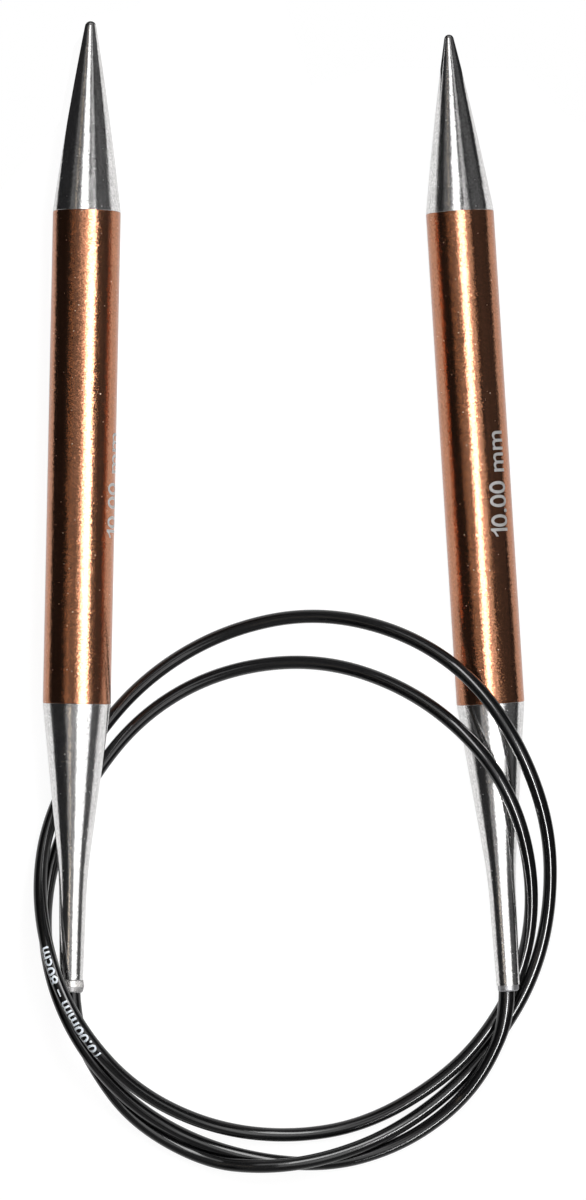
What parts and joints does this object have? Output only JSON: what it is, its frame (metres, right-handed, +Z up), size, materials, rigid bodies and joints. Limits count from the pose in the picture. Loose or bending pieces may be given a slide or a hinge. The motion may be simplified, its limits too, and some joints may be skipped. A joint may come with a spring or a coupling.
{
  "type": "circular knitting needle",
  "caption": "Circular knitting needle: pointed metal needles with coloured barrels and tapered tails, swivelling on the ends of a thin, flexible, coiled cord.",
  "frame": {"origin": "on the table that the part lies on, under the middle of the box round the two needles", "axes": "+Y along the needles, from the coil of cord towards the tips; +X to the right of someone who looks down with the tips away from them; +Z up from the table"},
  "size_m": [0.0771, 0.1696, 0.0126],
  "materials": {
    "polished_metal": "polished, with a fine lengthwise and speckled grain",
    "copper_anodised": "glossy copper-brown anodising with a fine speckled grain",
    "ring_metal": "grey turned metal, slightly duller than the needle",
    "ferrule_plastic": "glossy black",
    "cord_plastic": "glossy black, smooth"
  },
  "bodies": {
    "cord_line": {"cord": "cord_plastic", "left_cord_ferrule": "ferrule_plastic", "right_cord_ferrule": "ferrule_plastic"},
    "left_needle": {"left_tip_point": "polished_metal", "left_barrel_tube": "copper_anodised", "left_tail_cone": "polished_metal", "left_mouth_ring": "ring_metal"},
    "right_needle": {"right_tip_point": "polished_metal", "right_barrel_tube": "copper_anodised", "right_tail_cone": "polished_metal", "right_mouth_ring": "ring_metal"}
  },
  "joints": [
    {"name": "left_swivel", "type": "hinge", "parent": "cord_line", "child": "left_needle", "pos_m": [-0.0312, -0.0715, 0.00703], "axis": [0.02, 0.9996, -0.0175], "continuous": true},
    {"name": "right_swivel", "type": "hinge", "parent": "cord_line", "child": "right_needle", "pos_m": [0.0331, -0.07139, 0.005], "axis": [-0.0625, 0.998, 0], "continuous": true}
  ]
}
